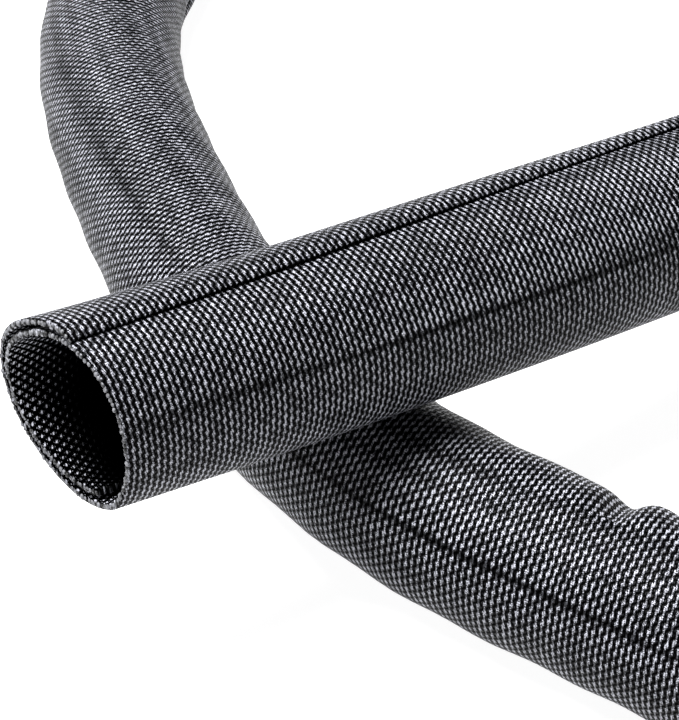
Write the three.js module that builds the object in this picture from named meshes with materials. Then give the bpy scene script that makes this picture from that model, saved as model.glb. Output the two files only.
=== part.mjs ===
// Braided cable sleeve: a woven wrap-around sheet rolled on itself, lying in one open loop that passes under itself.
// Millimetres, +Z up, floor at z = 0. The open mouth faces -X and the far cut end faces -Y.

import * as THREE from 'three';
import { mergeVertices } from 'three/addons/utils/BufferGeometryUtils.js';

// Driving dimensions, mm
const LENGTH = 1000;
const OUTER_RADIUS = 12.5;
const WALL = 0.8;
const LAYER_GAP = 0.7;
const EDGE_GAP = 0.35;
const CROSSING_GAP = 0.6;

// The roll, degrees from straight up, clockwise as seen from the mouth
const FULL_TURN = 360;
const INNER_EDGE = -210;
const SEAM_EDGE = 370;
const ROLL_STEP = 20;
const LAYERS_OPEN = -90;

// The free outer edge drifts over the top along the way, and is pressed thinner than the sheet
const SEAM_DRIFT = 140;
const SEAM_DRIFT_LENGTH = 628;
const DRIFT_FROM_ANGLE = 190;
const EDGE_THINNING = 0.4;

// The mouth is narrower, a little oval and three-sided, and pinched to a corner low on one side
const MOUTH_NARROWING = 0.5;
const OVALNESS = 0.3;
const THREE_SIDEDNESS = 0.4;
const CORNER_ANGLE = 138;
const CORNER_LIFT = 0.5;
const CORNER_SPREAD = 14;
const MOUTH_SHAPE_LENGTH = 75;

// The mouth is cut at a slant, so that one side of its rim stands back
const MOUTH_SLANT = 2.45;
const SLANT_ANGLE = 107;
const SLANT_LENGTH = 40;

// Buckle on the outgoing stretch
const BUCKLE_AT = 0.9435 * LENGTH;
const BUCKLE_ANGLE = 320;
const BUCKLE_DEPTH = 1.0;
const BUCKLE_LENGTH = 11;
const BUCKLE_SPREAD = 38;

// Way on the floor from the mouth on: part of the length, turn to the left in degrees
const WAY = [
  [0.1175, 5],
  [0.1243, 0],
  [0.4197, 218.6],
  [0.1037, 0],
  [0.0475, 26.2],
  [0.015, 5.9],
  [0.03, 4.1],
  [0.03, 11.5],
  [0.0375, 20.4],
  [0.015, 4],
  [0.0225, -3.9],
  [0.0373, -21.8],
];

// Ramp that carries the mouth over the lower stretch
const CROSSING_AT = 0.0425 * LENGTH;
const RAMP_FOOT = 0.2965 * LENGTH;
const RAMP_EASE = 0.06 * LENGTH;

// Fineness
const WAY_STEP = 2;
const STEPS = 66;
const WELD = 1e-4;

const smooth = (from, to, x) => THREE.MathUtils.smoothstep(x, from, to);
const bell = (x, width) => Math.exp(-((x / width) ** 2));
const rad = THREE.MathUtils.degToRad;

// The roll rests on the flat between its two lowest corners
const restHeight = OUTER_RADIUS * Math.cos(rad(ROLL_STEP / 2));

// Unit ramp: level beyond the foot, eased near it, straight above it
const ramp = (s) => {
  const left = Math.max(0, RAMP_FOOT - s);
  return left < RAMP_EASE ? left ** 2 / (2 * RAMP_EASE) : left - RAMP_EASE / 2;
};
const topOfSingleLayer = restHeight + OUTER_RADIUS - WALL - EDGE_GAP;
const crossingRise = topOfSingleLayer + CROSSING_GAP + OUTER_RADIUS - restHeight;
const slope = crossingRise / ramp(CROSSING_AT);

// Centre line as points a short step apart
const layWay = () => {
  const points = [new THREE.Vector3(0, 0, 0)];
  let heading = 0;
  for (const [share, turn] of WAY) {
    const length = share * LENGTH;
    const count = Math.ceil(length / WAY_STEP);
    const step = length / count;
    for (let i = 0; i < count; i += 1) {
      heading += rad(turn) / count / 2;
      const last = points[points.length - 1];
      points.push(new THREE.Vector3(
        last.x + step * Math.cos(heading), last.y + step * Math.sin(heading), 0));
      heading += rad(turn) / count / 2;
    }
  }
  const total = points.length - 1;
  points.forEach((point, i) => {
    point.z = restHeight + slope * ramp((i / total) * LENGTH);
  });
  return new THREE.CatmullRomCurve3(points);
};

// Centre, sideways and upright directions at a distance along the way
const frameAt = (curve, s) => {
  const t = s / LENGTH;
  const centre = curve.getPoint(t);
  const along = curve.getTangent(t);
  const side = new THREE.Vector3().crossVectors(along, new THREE.Vector3(0, 0, 1)).normalize();
  const upright = new THREE.Vector3().crossVectors(side, along);
  return { centre, side, upright };
};

// Outline of the roll: round, with the shape of the mouth near it and the buckle farther on
const outlineAt = (angle, s) => {
  const turn = THREE.MathUtils.euclideanModulo(angle, FULL_TURN);
  const mouth = 1 - smooth(0, MOUTH_SHAPE_LENGTH, s);
  const oval = OVALNESS * Math.sin(rad(2 * turn)) + THREE_SIDEDNESS * Math.sin(rad(3 * turn));
  const corner = CORNER_LIFT * Math.exp(-Math.abs(turn - CORNER_ANGLE) / CORNER_SPREAD);
  const buckle = BUCKLE_DEPTH * bell(s - BUCKLE_AT, BUCKLE_LENGTH) * bell(turn - BUCKLE_ANGLE, BUCKLE_SPREAD);
  return OUTER_RADIUS + mouth * (oval + corner - MOUTH_NARROWING) - buckle;
};

// Depth of the sheet's middle below the outline: the inner layer all round, rising to the outer one at the corner
const depthAt = (angle) => {
  const gap = LAYER_GAP + (EDGE_GAP - LAYER_GAP) * smooth(LAYERS_OPEN, SEAM_EDGE - FULL_TURN, angle);
  return WALL / 2 + (WALL + gap) * (1 - smooth(SEAM_EDGE - FULL_TURN, CORNER_ANGLE, angle));
};

// Turned angle, with the drift that grows from the flat it rests on towards the free outer edge
const drifted = (angle, s) => {
  const drift = SEAM_DRIFT * Math.sin((Math.PI / 2) * Math.min(1, s / SEAM_DRIFT_LENGTH));
  return angle - drift * Math.max(0, (angle - DRIFT_FROM_ANGLE) / (SEAM_EDGE - DRIFT_FROM_ANGLE));
};

// How far the slanted cut sets a point back from the mouth's foremost one
const setBack = (angle, s) =>
  MOUTH_SLANT * (1 + Math.cos(rad(angle - SLANT_ANGLE))) * (1 - smooth(0, SLANT_LENGTH, s));

// A flat strip, across in x, thick in y and long in z, is rolled up and carried along the way
const rollSleeve = () => {
  const curve = layWay();
  const across = (SEAM_EDGE - INNER_EDGE) / ROLL_STEP;
  const strip = new THREE.BoxGeometry(SEAM_EDGE - INNER_EDGE, WALL, LENGTH, across, 1, STEPS);
  strip.deleteAttribute('normal');
  strip.deleteAttribute('uv');
  const geometry = mergeVertices(strip, WELD);
  const position = geometry.attributes.position;
  const vertex = new THREE.Vector3();
  for (let i = 0; i < position.count; i += 1) {
    vertex.fromBufferAttribute(position, i);
    const angle = (SEAM_EDGE + INNER_EDGE) / 2 - vertex.x;
    const stripAt = vertex.z + LENGTH / 2;
    const s = stripAt + setBack(angle, stripAt);
    const thinned = vertex.y > 0 && angle > SEAM_EDGE - ROLL_STEP / 2 ? EDGE_THINNING : 0;
    const radius = outlineAt(angle, s) - depthAt(angle) + vertex.y - thinned;
    const { centre, side, upright } = frameAt(curve, s);
    const turned = rad(drifted(angle, s));
    vertex.copy(centre)
      .addScaledVector(side, radius * Math.sin(turned))
      .addScaledVector(upright, radius * Math.cos(turned));
    position.setXYZ(i, vertex.x, vertex.y, vertex.z);
  }
  geometry.computeVertexNormals();
  return geometry;
};

const geometry = rollSleeve();
geometry.computeBoundingBox();
const middle = geometry.boundingBox.getCenter(new THREE.Vector3());
geometry.translate(-middle.x, -middle.y, -geometry.boundingBox.min.z);

const material = new THREE.MeshStandardMaterial({ color: 0x1b1b1d, roughness: 0.6, metalness: 0 });
const sleeve = new THREE.Mesh(geometry, material);
sleeve.name = 'woven_sleeve';

const group = new THREE.Group();
group.name = 'braided_cable_sleeve';
group.add(sleeve);

export default group;
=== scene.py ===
"""Woven wrap-around cable sleeve, rolled on itself and lying in one open loop that passes under itself.

Metres, +Z up, floor at z = 0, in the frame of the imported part. The open mouth faces -X.
"""

import math

import bpy
import numpy as np
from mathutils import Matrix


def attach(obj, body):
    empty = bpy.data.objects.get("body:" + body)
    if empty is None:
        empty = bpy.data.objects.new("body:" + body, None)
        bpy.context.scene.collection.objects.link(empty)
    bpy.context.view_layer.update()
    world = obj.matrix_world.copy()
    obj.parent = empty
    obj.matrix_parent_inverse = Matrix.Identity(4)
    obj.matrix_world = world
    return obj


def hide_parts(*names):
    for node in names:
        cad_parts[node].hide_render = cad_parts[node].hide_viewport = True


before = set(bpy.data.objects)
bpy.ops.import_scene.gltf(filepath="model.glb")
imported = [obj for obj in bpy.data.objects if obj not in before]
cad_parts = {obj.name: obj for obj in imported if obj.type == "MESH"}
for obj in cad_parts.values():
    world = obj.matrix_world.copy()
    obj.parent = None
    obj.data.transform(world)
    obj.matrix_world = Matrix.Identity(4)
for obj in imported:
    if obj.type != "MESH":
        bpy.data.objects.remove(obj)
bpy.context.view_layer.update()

MM = 0.001

# Sizes of the roll, as in the part's source
LENGTH = 1000 * MM
OUTER_RADIUS = 12.5 * MM
WALL = 0.8 * MM
LAYER_GAP = 0.7 * MM
EDGE_GAP = 0.35 * MM
CROSSING_GAP = 0.6 * MM

# The roll in degrees from straight up, clockwise as seen from the mouth. The part's roll rests on a facet of
# REST_STEP, which gives its height
FULL_TURN = 360
INNER_EDGE = -210
SEAM_EDGE = 370
REST_STEP = 20
LAYERS_OPEN = -90

# The free outer edge drifts over the top along the way. Over its last degrees, EDGE_WIDTH, it is pressed thin
SEAM_DRIFT = 140
SEAM_DRIFT_LENGTH = 628 * MM
DRIFT_FROM_ANGLE = 190
EDGE_THINNING = 0.75 * MM
EDGE_SINK = 0.3 * MM
EDGE_WIDTH = 8

# The mouth is narrower, a little oval and three-sided, and pinched to a corner low on one side
MOUTH_NARROWING = 0.5 * MM
OVALNESS = 0.3 * MM
THREE_SIDEDNESS = 0.4 * MM
CORNER_ANGLE = 138
CORNER_LIFT = 0.5 * MM
CORNER_SPREAD = 14
MOUTH_SHAPE_LENGTH = 75 * MM

# The mouth is cut at a slant, so that one side of its rim stands back
MOUTH_SLANT = 2.45 * MM
SLANT_ANGLE = 107
SLANT_LENGTH = 40 * MM

# Buckle on the outgoing stretch: a sharp crease with a low swell behind it
BUCKLE_AT = 0.9435 * LENGTH
BUCKLE_ANGLE = 334
BUCKLE_DEPTH = 2.0 * MM
BUCKLE_LENGTH = 2.2 * MM
BUCKLE_SPREAD = 38
BUCKLE_SWELL = 0.6 * MM
SWELL_BEHIND = 4 * MM
SWELL_LENGTH = 3 * MM

# Gentle waves of the soft sheet
WAVE_HEIGHT = 0.12 * MM
WAVE_LENGTH = 13 * MM
WAVES_AROUND = 4
WAVES_GROW = (250 * MM, 600 * MM)

# Way on the floor from the mouth on: part of the length, turn to the left in degrees
WAY_START = (-176.8169 * MM, -80.5682 * MM)
WAY = [
    (0.1175, 5),
    (0.1243, 0),
    (0.4197, 218.6),
    (0.1037, 0),
    (0.0475, 26.2),
    (0.015, 5.9),
    (0.03, 4.1),
    (0.03, 11.5),
    (0.0375, 20.4),
    (0.015, 4),
    (0.0225, -3.9),
    (0.0373, -21.8),
]

# Ramp that carries the mouth over the lower stretch
CROSSING_AT = 0.0425 * LENGTH
RAMP_FOOT = 0.2965 * LENGTH
RAMP_EASE = 0.06 * LENGTH

# Weave in millimetres: ribs of weft round the sleeve, warps along it, turned some degrees by the roll's twist
RIB_PITCH = 0.84
WARP_SPACING = 0.72
WEAVE_SKEW = -4
RIB_CROWDING = 0.12
CROWDED_LENGTH = 60 * MM

# A float's slant, half width, reach and fading end, and the warp between, in parts of a rib or a period
FLOAT_SLANT = 0.26
FLOAT_WIDTH = 0.25
FLOAT_REACH = 0.8
FLOAT_FADE = 0.25
FLOAT_MIDDLE = 0.6
WARP_WIDTH = 0.2
WARP_HEIGHT = 0.15

# Uneven yarns: one float's chance, a rib's wobble, flecks of the filaments and dull streaks. Scales are per
# millimetre
UNEVENNESS = 0.25
CHANCE_STEPS = (12.9898, 78.233, 437.5)
WOBBLE = 0.25
WOBBLE_SCALE = 0.25
FLECKS = 3.4
FLECK_SCALE = 6.0
STREAKS = 0.8
STREAK_SCALE = (0.015, 0.35, 1.0)

# Lining: each float shows as a short point, brightened by painted light near the mouth and lost in painted
# shade some millimetres behind it
LINING_POINTS = 3.5
LINING_PAINTED_LIGHT = 3.5
LINING_PAINTED_SHADE_DEPTH = 9

# Dark line of painted shade in the crease where the flat sheet was folded: its place round the sleeve in
# millimetres, how far it winds on per millimetre, its half width, and the stretches on either side of the
# middle where it shows
FOLD_START = 14.6
FOLD_WIND = 0.0687
FOLD_WIDTH = 0.7
FOLD_SHADE_DEPTH = 0.6
FOLD_MIDDLE = 490
FOLD_FROM_MIDDLE = 435
FOLD_REACH = 60

# The yarn's tones from the bottom of a gap to the crest of a float, with painted shade in the gaps and a
# painted highlight on the crests, its satin, and its relief
TONES_WITH_PAINTED_LIGHT = [(0.0, "#000000"), (0.25, "#040405"), (0.6, "#3e3f44"), (1.0, "#b4b5bf")]
GLOSS = 0.25
YARN_ROUGHNESS = 0.42
RELIEF = 0.2 * MM
RELIEF_STRENGTH = 0.7

# Melted knobs on the cut ends of the warps: half length, random shift in parts of a warp's spacing, random
# place along the sleeve, random thickness in parts of the edge's, and spots per metre
KNOB_LENGTH = 0.22 * MM
KNOB_SHIFT = 0.2
KNOB_SET = (-0.1 * MM, 0.15 * MM)
KNOB_THICKNESS = (0.7, 1.05)
KNOB_SEED = 7
KNOB_SPOTS = 1600
KNOB_DARK = (0.4, "#0a0a0b")
KNOB_LIGHT = (0.6, "#77787d")
KNOB_ROUGHNESS = 0.55

# White acrylic floor lit from behind, and the studio's lights
FLOOR_HALF = 6.0
FLOOR_COLOUR = "#a6a6a6"
FLOOR_ROUGHNESS = 0.9
FLOOR_GLOW = 0.93
SOFTBOX_PLACE = (-0.3, 0.12, 1.0)
SOFTBOX_SIZE = 0.5
SOFTBOX_POWER = 34
ROOM_GLOW = 0.2

# Mesh fineness, and the steps of the centre line
ALONG_STEPS = 366
BUCKLE_STEPS = 34
ACROSS_STEPS = 110
WAY_STEP = 1 * MM

# Camera, matched to the photograph's 679 x 720 pixels. The aim is a point on the floor, and MOUTH_FROM_AIM
# leads from it to below the middle of the slanted rim, with the camera's heading as +Y
IMAGE_WIDTH = 679
FOCAL_PIXELS = 2137.3
SENSOR = 36.0
ELEVATION = 0.71475
HEADING = 0.5469
CAMERA_DISTANCE = 312.9 * MM
NEAREST_SEEN = 0.01
FARTHEST_SEEN = 50
MOUTH_FROM_AIM = (-31.25 * MM, -56.16 * MM)
RIM_FROM_START = 2.5 * MM
MOUTH_PLACE = (WAY_START[0] + RIM_FROM_START, WAY_START[1])


def smooth(start, end, x):
    """0 before start and 1 after end, with 3t^2 - 2t^3 between them."""
    t = np.clip((x - start) / (end - start), 0, 1)
    return t * t * (3 - 2 * t)


def bell(x, width):
    """exp(-(x / width)^2)."""
    return np.exp(-((x / width) ** 2))


def ramp(s):
    """Level beyond the foot, a parabola through the ease, a straight line above it."""
    left = np.maximum(0, RAMP_FOOT - s)
    return np.where(left < RAMP_EASE, left**2 / (2 * RAMP_EASE), left - RAMP_EASE / 2)


def way_points(step=WAY_STEP):
    """Distances and points of the centre line from the mouth on, from running sums of its turns and steps."""
    counts = [max(1, round(share * LENGTH / step)) for share, _ in WAY]
    steps = np.concatenate([np.full(n, share * LENGTH / n) for n, (share, _) in zip(counts, WAY)])
    turns = np.concatenate([np.full(n, math.radians(turn) / n) for n, (_, turn) in zip(counts, WAY)])
    heading = np.cumsum(turns) - turns / 2
    s = np.concatenate([[0], np.cumsum(steps)])
    x = WAY_START[0] + np.concatenate([[0], np.cumsum(steps * np.cos(heading))])
    y = WAY_START[1] + np.concatenate([[0], np.cumsum(steps * np.sin(heading))])
    rest_height = OUTER_RADIUS * math.cos(math.radians(REST_STEP / 2))
    top_of_single_layer = rest_height + OUTER_RADIUS - WALL - EDGE_GAP
    crossing_rise = top_of_single_layer + CROSSING_GAP + OUTER_RADIUS - rest_height
    z = rest_height + crossing_rise / ramp(CROSSING_AT) * ramp(s)
    return s, np.stack([x, y, z], axis=1)


def frames_at(s):
    """Centre, sideways and upright directions, with the upright kept as near to +Z as the way allows."""
    way_s, points = way_points()
    centre = np.stack([np.interp(s, way_s, points[:, k]) for k in range(3)], axis=1)
    slope = np.gradient(points, way_s, axis=0)
    along = np.stack([np.interp(s, way_s, slope[:, k]) for k in range(3)], axis=1)
    along /= np.linalg.norm(along, axis=1, keepdims=True)
    side = np.cross(along, (0, 0, 1))
    side /= np.linalg.norm(side, axis=1, keepdims=True)
    return centre, side, np.cross(side, along)


def outline_at(angle, s):
    """Radius plus the mouth's shape, the buckle's crease and swell, and the waves.

    The buckle stands at its angle after the drift, so it leaves the flap's end below alone.
    """
    turn = np.mod(angle, FULL_TURN)
    drifted_turn = np.mod(drifted(angle, s), FULL_TURN)
    mouth = 1 - smooth(0, MOUTH_SHAPE_LENGTH, s)
    oval = OVALNESS * np.sin(np.radians(2 * turn)) + THREE_SIDEDNESS * np.sin(np.radians(3 * turn))
    corner = CORNER_LIFT * np.exp(-np.abs(turn - CORNER_ANGLE) / CORNER_SPREAD)
    crease = BUCKLE_DEPTH * bell(s - BUCKLE_AT, BUCKLE_LENGTH) - BUCKLE_SWELL * bell(
        s - BUCKLE_AT - SWELL_BEHIND, SWELL_LENGTH
    )
    buckle = crease * bell(drifted_turn - BUCKLE_ANGLE, BUCKLE_SPREAD)
    waves = WAVE_HEIGHT * np.sin(2 * math.pi * s / WAVE_LENGTH + np.radians(WAVES_AROUND * turn))
    return OUTER_RADIUS + mouth * (oval + corner - MOUTH_NARROWING) - buckle + waves * smooth(*WAVES_GROW, s)


def depth_at(angle):
    """Depth of the sheet's middle below the outline: the inner layer's, easing to the outer one's."""
    gap = LAYER_GAP + (EDGE_GAP - LAYER_GAP) * smooth(LAYERS_OPEN, SEAM_EDGE - FULL_TURN, angle)
    return WALL / 2 + (WALL + gap) * (1 - smooth(SEAM_EDGE - FULL_TURN, CORNER_ANGLE, angle))


def drifted(angle, s):
    """angle - drift * t: t is 0 at the resting side and 1 at the free edge, and drift eases in with s."""
    drift = SEAM_DRIFT * np.sin(math.pi / 2 * np.minimum(1, s / SEAM_DRIFT_LENGTH))
    return angle - drift * np.maximum(0, (angle - DRIFT_FROM_ANGLE) / (SEAM_EDGE - DRIFT_FROM_ANGLE))


def set_back(angle, s):
    """slant * (1 + cos(angle - slant angle)), fading out from the mouth."""
    return MOUTH_SLANT * (1 + np.cos(np.radians(angle - SLANT_ANGLE))) * (1 - smooth(0, SLANT_LENGTH, s))


def rolled(angle, s, lift):
    """Points of the sheet: centre + (outline - depth + lift) * (side * sin + upright * cos) of the angle."""
    centre, side, upright = frames_at(s.ravel())
    radius = (outline_at(angle, s) - depth_at(angle) + lift).ravel()[:, None]
    turned = np.radians(drifted(angle, s)).ravel()[:, None]
    return centre + radius * (side * np.sin(turned) + upright * np.cos(turned))


def add_mesh(name, points, faces, uv, lining=None, second_from=None):
    """An object at the origin from points, quads and UVs, with a lining value per point where given.

    The quads from number second_from on take the second material.
    """
    mesh = bpy.data.meshes.new(name)
    mesh.vertices.add(len(points))
    mesh.vertices.foreach_set("co", points.astype(np.float32).ravel())
    mesh.loops.add(faces.size)
    mesh.loops.foreach_set("vertex_index", faces.astype(np.int32).ravel())
    mesh.polygons.add(len(faces))
    mesh.polygons.foreach_set("loop_start", np.arange(0, faces.size, faces.shape[1], dtype=np.int32))
    layer = mesh.uv_layers.new(name="weave")
    layer.data.foreach_set("uv", uv[faces.ravel()].astype(np.float32).ravel())
    if lining is not None:
        mesh.attributes.new("lining", "FLOAT", "POINT").data.foreach_set("value", lining.astype(np.float32))
    mesh.update(calc_edges=True)
    mesh.validate()
    if second_from is not None:
        mesh.polygons.foreach_set("material_index", (np.arange(len(faces)) >= second_from).astype(np.int32))
    mesh.polygons.foreach_set("use_smooth", np.ones(len(faces), dtype=bool))
    piece = bpy.data.objects.new(name, mesh)
    bpy.context.scene.collection.objects.link(piece)
    return piece


def weave_place(angle, s):
    """Millimetres across the ribs and along them, turned by the skew, with the ribs crowded at the mouth."""
    along = s - RIB_CROWDING * np.maximum(0, CROWDED_LENGTH - s) ** 2 / (2 * CROWDED_LENGTH)
    around = np.radians(drifted(angle, s)) * OUTER_RADIUS
    skew = math.radians(WEAVE_SKEW)
    ribs = along * math.cos(skew) + around * math.sin(skew)
    warps = around * math.cos(skew) - along * math.sin(skew)
    return np.stack([ribs.ravel() / MM, warps.ravel() / MM], axis=1)


def knob():
    """The 26 points of a 3 x 3 x 3 grid's shell, pushed onto the unit sphere, and the 24 quads between."""
    grid = np.indices((3, 3, 3)).reshape(3, -1).T - 1
    on_shell = np.any(grid != 0, axis=1)
    number = np.cumsum(on_shell) - 1
    points = grid[on_shell] / np.linalg.norm(grid[on_shell], axis=1, keepdims=True)
    faces = []
    for axis in range(3):
        u, v = (axis + 1) % 3, (axis + 2) % 3
        for side in (-1, 1):
            for i in (-1, 0):
                for j in (-1, 0):
                    corners = np.zeros((4, 3), dtype=int)
                    corners[:, axis] = side
                    corners[:, u] = (i, i + 1, i + 1, i)
                    corners[:, v] = (j, j, j + 1, j + 1)
                    faces.append(number[(corners + 1) @ (9, 3, 1)][::side])
    return points, np.array(faces)


def yarn_ends(s, rng):
    """A knob on the cut end of each warp: centre + radial * x + tangent * y + axial * z of its points."""
    spacing = math.degrees(WARP_SPACING * MM / OUTER_RADIUS)
    angle = np.arange(INNER_EDGE + spacing / 2, SEAM_EDGE, spacing)
    angle = angle + rng.uniform(-KNOB_SHIFT, KNOB_SHIFT, angle.size) * spacing
    at = s + set_back(angle, np.full(angle.size, s)) + rng.uniform(*KNOB_SET, angle.size)
    edge = smooth(SEAM_EDGE - EDGE_WIDTH, SEAM_EDGE, angle)
    top, under = WALL / 2 - EDGE_THINNING * edge, -WALL / 2 - EDGE_SINK * edge
    outer, inner = rolled(angle, at, top), rolled(angle, at, under)
    centre = (outer + inner) / 2
    radial = (outer - inner) / 2 * rng.uniform(*KNOB_THICKNESS, angle.size)[:, None]
    tangent = (rolled(angle + spacing / 2, at, top) - rolled(angle - spacing / 2, at, top)) / 2
    axial = np.cross(tangent, radial)
    axial *= KNOB_LENGTH / np.linalg.norm(axial, axis=1, keepdims=True)
    shape, faces = knob()
    points = centre[:, None] + np.einsum("pk,nkc->npc", shape, np.stack([radial, tangent, axial], axis=1))
    count = np.arange(angle.size)[:, None, None] * len(shape)
    return points.reshape(-1, 3), (faces + count).reshape(-1, 4)


def make_sleeve():
    """The sheet and its knobs as one mesh. A row runs across the outer face and back across the inner one."""
    even = np.linspace(0, LENGTH, ALONG_STEPS + 1)
    reach = 4 * BUCKLE_LENGTH
    dense = np.linspace(BUCKLE_AT - reach, BUCKLE_AT + reach, BUCKLE_STEPS)
    rows = np.union1d(even, dense)
    angle = np.linspace(INNER_EDGE, SEAM_EDGE, ACROSS_STEPS + 1)
    edge = smooth(SEAM_EDGE - EDGE_WIDTH, SEAM_EDGE, angle)
    ring_angle = np.concatenate([angle, angle[::-1]])
    ring_lift = np.concatenate([WALL / 2 - EDGE_THINNING * edge, -WALL / 2 - EDGE_SINK * edge[::-1]])
    grid_angle, grid_s = np.meshgrid(ring_angle, rows)
    grid_lift = np.broadcast_to(ring_lift, grid_s.shape)
    grid_s = grid_s + set_back(grid_angle, grid_s)
    points = rolled(grid_angle, grid_s, grid_lift)
    uv = weave_place(grid_angle, grid_s)
    ring = ring_angle.size
    row = np.arange(rows.size - 1)[:, None] * ring
    here = np.arange(ring)[None, :]
    after = (here + 1) % ring
    faces = np.stack([row + here, row + after, row + ring + after, row + ring + here], axis=-1).reshape(-1, 4)
    pair = np.arange(ACROSS_STEPS)
    mouth = np.stack([pair, ring - 1 - pair, ring - 2 - pair, pair + 1], axis=1)
    far = (mouth + (rows.size - 1) * ring)[:, ::-1]
    inner_face = np.arange(ring) >= angle.size
    lining = np.broadcast_to(inner_face, grid_s.shape).ravel().astype(float)
    sheet = np.concatenate([faces, mouth, far])
    rng = np.random.default_rng(KNOB_SEED)
    all_points, all_faces = [points], [sheet]
    for s in (0, LENGTH):
        ends, end_faces = yarn_ends(s, rng)
        all_faces.append(end_faces + sum(len(part) for part in all_points))
        all_points.append(ends)
    points = np.concatenate(all_points)
    more = len(points) - len(uv)
    uv = np.concatenate([uv, np.zeros((more, 2))])
    lining = np.concatenate([lining, np.zeros(more)])
    return add_mesh("sleeve", points, np.concatenate(all_faces), uv, lining, len(sheet))


def hex_linear(code):
    """Linear RGBA of an sRGB hex value."""
    channels = [int(code[k : k + 2], 16) / 255 for k in (1, 3, 5)]
    return [c / 12.92 if c <= 0.04045 else ((c + 0.055) / 1.055) ** 2.4 for c in channels] + [1.0]


def add_node(tree, kind, settings=None, **links):
    """A node with its settings, and its inputs set to values or linked to sockets by name or number."""
    node = tree.nodes.new(kind)
    for name, value in (settings or {}).items():
        setattr(node, name, value)
    for name, value in links.items():
        key = int(name[1:]) if name[0] == "i" and name[1:].isdigit() else name.replace("_", " ")
        if isinstance(value, bpy.types.NodeSocket):
            tree.links.new(value, node.inputs[key])
        else:
            node.inputs[key].default_value = value
    return node


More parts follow.
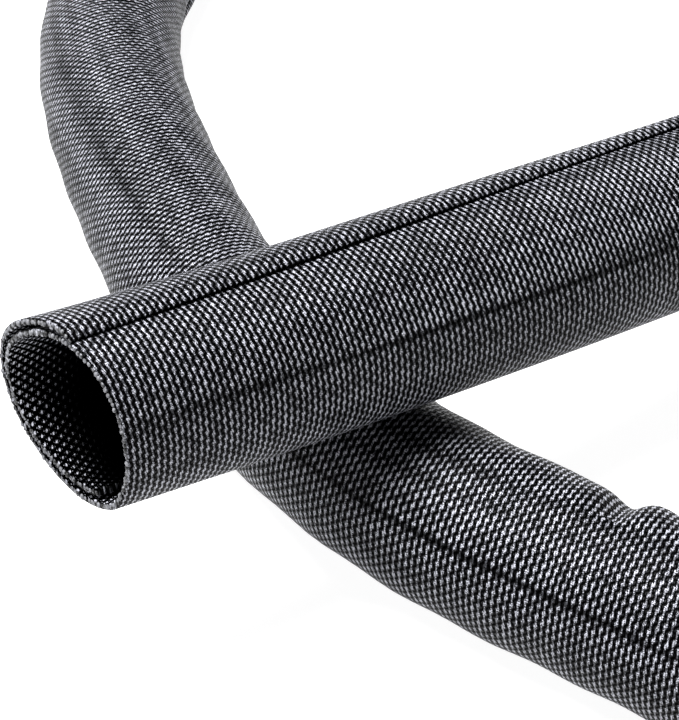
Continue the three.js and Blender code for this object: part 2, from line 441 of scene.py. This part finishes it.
def woven_polyester():
    """Charcoal polyester monofilament: ropes of slanted satin floats that gleam out of black gaps.

    x runs across a rib from -0.5 to 0.5 and t along it from -0.5 to 0.5 of a float's period, half a period on
    from rib to rib. A float is 1 - ((x - SLANT t) / WIDTH)^2, faded out at its ends. The next one overlaps it.
    The warps show low in the gaps. The height times chance, flecks, streaks and the fold's painted shade line
    gives the tone, which the ramp turns into painted shade in the gaps and a painted highlight on the crests
    over the charcoal yarn. The lining keeps only the middle of each float, with painted light near the mouth
    and painted shade deeper in.
    """
    material = bpy.data.materials.new("woven_polyester_monofilament")
    material.use_nodes = True
    tree = material.node_tree
    tree.nodes.clear()
    uv = add_node(tree, "ShaderNodeUVMap", {"uv_map": "weave"}).outputs[0]
    split = add_node(tree, "ShaderNodeSeparateXYZ", Vector=uv)
    wobble = add_node(tree, "ShaderNodeTexNoise", Vector=uv, Scale=WOBBLE_SCALE, Detail=1.0).outputs["Fac"]
    flecks = add_node(tree, "ShaderNodeTexNoise", Vector=uv, Scale=FLECK_SCALE, Detail=1.0).outputs["Fac"]
    streaked = add_node(tree, "ShaderNodeMapping", Vector=uv, Scale=STREAK_SCALE).outputs[0]
    streaks = add_node(tree, "ShaderNodeTexNoise", Vector=streaked, Scale=1.0, Detail=1.0).outputs["Fac"]
    lining = add_node(tree, "ShaderNodeAttribute", {"attribute_name": "lining"}).outputs["Fac"]
    made = {"lining": lining, "across": split.outputs["X"], "along": split.outputs["Y"]}
    made.update(wobble=wobble, flecks=flecks, streaks=streaks)
    steps = [
        ("wobbled", "MULTIPLY_ADD", "wobble", WOBBLE, "across"),
        ("rib", "DIVIDE", "wobbled", RIB_PITCH),
        ("row", "FLOOR", "rib"),
        ("rib_part", "FRACT", "rib"),
        ("x", "SUBTRACT", "rib_part", 0.5),
        ("half_row", "MULTIPLY", "row", 0.5),
        ("float_place", "MULTIPLY_ADD", "along", 1 / (2 * WARP_SPACING), "half_row"),
        ("float_part", "FRACT", "float_place"),
        ("t", "SUBTRACT", "float_part", 0.5),
        ("t_sign", "SIGN", "t"),
        ("next_t", "SUBTRACT", "t", "t_sign"),
        ("own_off", "MULTIPLY_ADD", "t", -FLOAT_SLANT, "x"),
        ("own_share", "DIVIDE", "own_off", FLOAT_WIDTH),
        ("own_square", "MULTIPLY", "own_share", "own_share"),
        ("own_round", "SUBTRACT", 1.0, "own_square"),
        ("own_length", "ABSOLUTE", "t"),
        ("own_left", "SUBTRACT", FLOAT_REACH, "own_length"),
        ("own_end", "DIVIDE", "own_left", FLOAT_FADE, None, "clamp"),
        ("own_gleam", "ADD", "own_length", FLOAT_MIDDLE, None, "clamp"),
        ("own_tone", "MULTIPLY", "own_end", "own_gleam"),
        ("own_float", "MULTIPLY", "own_round", "own_tone"),
        ("next_off", "MULTIPLY_ADD", "next_t", -FLOAT_SLANT, "x"),
        ("next_share", "DIVIDE", "next_off", FLOAT_WIDTH),
        ("next_square", "MULTIPLY", "next_share", "next_share"),
        ("next_round", "SUBTRACT", 1.0, "next_square"),
        ("next_length", "ABSOLUTE", "next_t"),
        ("next_left", "SUBTRACT", FLOAT_REACH, "next_length"),
        ("next_end", "DIVIDE", "next_left", FLOAT_FADE, None, "clamp"),
        ("next_float", "MULTIPLY", "next_round", "next_end"),
        ("floats", "MAXIMUM", "own_float", "next_float"),
        ("x_length", "ABSOLUTE", "x"),
        ("gap_off", "SUBTRACT", 0.5, "x_length"),
        ("gap_share", "DIVIDE", "gap_off", WARP_WIDTH),
        ("gap_square", "MULTIPLY", "gap_share", "gap_share"),
        ("gap_round", "SUBTRACT", 1.0, "gap_square"),
        ("warp_turn", "MULTIPLY", "t", 4 * math.pi),
        ("warp_wave", "COSINE", "warp_turn"),
        ("warp_height", "MULTIPLY_ADD", "warp_wave", WARP_HEIGHT, WARP_HEIGHT),
        ("warps", "MULTIPLY", "gap_round", "warp_height"),
        ("height", "MAXIMUM", "floats", "warps"),
        ("surface", "MAXIMUM", "height", 0.0),
        ("own_number", "FLOOR", "float_place"),
        ("own_nearer", "GREATER_THAN", "own_float", "next_float"),
        ("further", "SUBTRACT", 1.0, "own_nearer"),
        ("number", "MULTIPLY_ADD", "further", "t_sign", "own_number"),
        ("number_seed", "MULTIPLY", "number", CHANCE_STEPS[0]),
        ("seed", "MULTIPLY_ADD", "row", CHANCE_STEPS[1], "number_seed"),
        ("seed_wave", "SINE", "seed"),
        ("seed_spread", "MULTIPLY", "seed_wave", CHANCE_STEPS[2]),
        ("chance", "FRACT", "seed_spread"),
        ("evenness", "MULTIPLY_ADD", "chance", UNEVENNESS, 1 - UNEVENNESS),
        ("fleck_tone", "MULTIPLY_ADD", "flecks", FLECKS, 1 - FLECKS / 2),
        ("streak_tone", "MULTIPLY_ADD", "streaks", STREAKS, 1 - STREAKS / 2),
        # Painted shade of the fold's crease: a dark line that winds along the sleeve near both ends
        ("fold_line", "MULTIPLY_ADD", "across", FOLD_WIND, FOLD_START),
        ("fold_off", "SUBTRACT", "along", "fold_line"),
        ("fold_reach", "ABSOLUTE", "fold_off"),
        ("fold_share", "DIVIDE", "fold_reach", FOLD_WIDTH, None, "clamp"),
        ("fold_near", "SUBTRACT", 1.0, "fold_share"),
        ("from_middle", "SUBTRACT", "across", FOLD_MIDDLE),
        ("from_middle_length", "ABSOLUTE", "from_middle"),
        ("fold_place", "SUBTRACT", "from_middle_length", FOLD_FROM_MIDDLE),
        ("fold_part", "DIVIDE", "fold_place", FOLD_REACH),
        ("fold_square", "MULTIPLY", "fold_part", "fold_part"),
        ("fold_fade", "SUBTRACT", 1.0, "fold_square", None, "clamp"),
        ("fold_dark", "MULTIPLY", "fold_near", "fold_fade"),
        ("fold_tone", "MULTIPLY_ADD", "fold_dark", -FOLD_SHADE_DEPTH, 1.0),
        ("gleam", "MULTIPLY", "evenness", "fleck_tone"),
        ("streaked_gleam", "MULTIPLY", "gleam", "streak_tone"),
        ("folded_gleam", "MULTIPLY", "streaked_gleam", "fold_tone"),
        ("outer_tone", "MULTIPLY", "surface", "folded_gleam"),
        # Inside: painted light brightens the short points near the mouth, and painted shade takes them to
        # black deeper in
        ("point", "MULTIPLY_ADD", "own_length", -LINING_POINTS, 1.0, "clamp"),
        ("depth_share", "MULTIPLY_ADD", "across", -1 / LINING_PAINTED_SHADE_DEPTH, 1.0, "clamp"),
        ("point_shown", "MULTIPLY", "point", "depth_share"),
        ("point_gleam", "MULTIPLY", "point_shown", LINING_PAINTED_LIGHT),
        ("point_tone", "MULTIPLY", "outer_tone", "point_gleam"),
        ("less", "SUBTRACT", "point_tone", "outer_tone"),
        ("tone", "MULTIPLY_ADD", "less", "lining", "outer_tone"),
        ("specular", "MULTIPLY", "tone", GLOSS, None, "clamp"),
    ]
    for name, operation, *inputs in steps:
        settings = {"operation": operation, "use_clamp": "clamp" in inputs}
        values = {f"i{k}": made.get(v, v) for k, v in enumerate(inputs) if v not in (None, "clamp")}
        made[name] = add_node(tree, "ShaderNodeMath", settings, **values).outputs[0]
    # The ramp over the yarn's charcoal paints shade into the gaps and a highlight onto the float crests
    tone = add_node(tree, "ShaderNodeValToRGB", Fac=made["tone"])
    stops = tone.color_ramp.elements
    stops[0].position, stops[0].color = TONES_WITH_PAINTED_LIGHT[0][0], hex_linear(TONES_WITH_PAINTED_LIGHT[0][1])
    stops[1].position, stops[1].color = TONES_WITH_PAINTED_LIGHT[-1][0], hex_linear(TONES_WITH_PAINTED_LIGHT[-1][1])
    for position, colour in TONES_WITH_PAINTED_LIGHT[1:-1]:
        stops.new(position).color = hex_linear(colour)
    bump = add_node(tree, "ShaderNodeBump", Strength=RELIEF_STRENGTH, Distance=RELIEF, Height=made["surface"])
    shader = add_node(
        tree,
        "ShaderNodeBsdfPrincipled",
        Base_Color=tone.outputs[0],
        Roughness=YARN_ROUGHNESS,
        Specular_IOR_Level=made["specular"],
        Normal=bump.outputs[0],
    )
    add_node(tree, "ShaderNodeOutputMaterial", Surface=shader.outputs[0])
    return material


def cut_ends():
    """Polyester melted by the hot knife: grey knobs, some darker, without the satin of the yarns."""
    material = bpy.data.materials.new("cut_polyester_ends")
    material.use_nodes = True
    tree = material.node_tree
    place = add_node(tree, "ShaderNodeTexCoord").outputs["Object"]
    spots = add_node(tree, "ShaderNodeTexNoise", Vector=place, Scale=KNOB_SPOTS, Detail=1.0).outputs["Fac"]
    tone = add_node(tree, "ShaderNodeValToRGB", Fac=spots)
    stops = tone.color_ramp.elements
    stops[0].position, stops[0].color = KNOB_DARK[0], hex_linear(KNOB_DARK[1])
    stops[1].position, stops[1].color = KNOB_LIGHT[0], hex_linear(KNOB_LIGHT[1])
    shader = tree.nodes["Principled BSDF"]
    shader.inputs["Roughness"].default_value = KNOB_ROUGHNESS
    tree.links.new(tone.outputs[0], shader.inputs["Base Color"])
    return material


def make_floor():
    """A wide flat square under the sleeve."""
    points = FLOOR_HALF * np.array([[-1, -1, 0], [1, -1, 0], [1, 1, 0], [-1, 1, 0]])
    floor = add_mesh("floor", points, np.array([[0, 1, 2, 3]]), points[:, :2])
    material = bpy.data.materials.new("backlit_white_acrylic")
    material.use_nodes = True
    shader = material.node_tree.nodes["Principled BSDF"]
    shader.inputs["Base Color"].default_value = hex_linear(FLOOR_COLOUR)
    shader.inputs["Roughness"].default_value = FLOOR_ROUGHNESS
    shader.inputs["Emission Color"].default_value = hex_linear("#ffffff")
    shader.inputs["Emission Strength"].default_value = FLOOR_GLOW
    floor.data.materials.append(material)
    return floor


def add_camera():
    """The camera looks at the aim point on the floor from the photograph's distance and elevation."""
    aim = np.array([MOUTH_PLACE[0], MOUTH_PLACE[1], 0])
    back = np.array([-MOUTH_FROM_AIM[0], -MOUTH_FROM_AIM[1]])
    turn = np.array([[math.cos(HEADING), math.sin(HEADING)], [-math.sin(HEADING), math.cos(HEADING)]])
    aim[:2] += turn @ back
    away = turn @ np.array([0, -math.cos(ELEVATION)])
    place = aim + CAMERA_DISTANCE * np.array([away[0], away[1], math.sin(ELEVATION)])
    data = bpy.data.cameras.new("camera")
    data.sensor_fit = "HORIZONTAL"
    data.sensor_width = SENSOR
    data.lens = FOCAL_PIXELS * SENSOR / IMAGE_WIDTH
    data.clip_start = NEAREST_SEEN
    data.clip_end = FARTHEST_SEEN
    camera = bpy.data.objects.new("camera", data)
    camera.location = place
    camera.rotation_euler = (math.pi / 2 - ELEVATION, 0, -HEADING)
    bpy.context.scene.collection.objects.link(camera)
    bpy.context.scene.camera = camera
    return camera


def add_light(name, place, size, power):
    """A square softbox of that size, turned to the sleeve."""
    data = bpy.data.lights.new(name, "AREA")
    data.shape = "SQUARE"
    data.size = size
    data.energy = power
    light = bpy.data.objects.new(name, data)
    light.location = place
    away = np.array(place) / np.linalg.norm(place)
    light.rotation_euler = (math.acos(away[2]), 0, math.atan2(away[1], away[0]) + math.pi / 2)
    bpy.context.scene.collection.objects.link(light)
    return light


def add_surroundings():
    """Even white light from all round."""
    world = bpy.data.worlds.new("studio")
    world.use_nodes = True
    world.node_tree.nodes["Background"].inputs["Color"].default_value = (1, 1, 1, 1)
    world.node_tree.nodes["Background"].inputs["Strength"].default_value = ROOM_GLOW
    bpy.context.scene.world = world


add_camera()
sleeve = make_sleeve()
sleeve.data.materials.append(woven_polyester())
sleeve.data.materials.append(cut_ends())
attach(sleeve, "root")
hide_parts("woven_sleeve")
make_floor()
add_light("overhead_softbox", SOFTBOX_PLACE, SOFTBOX_SIZE, SOFTBOX_POWER)
add_surroundings()
bpy.context.scene.view_settings.view_transform = "Standard"
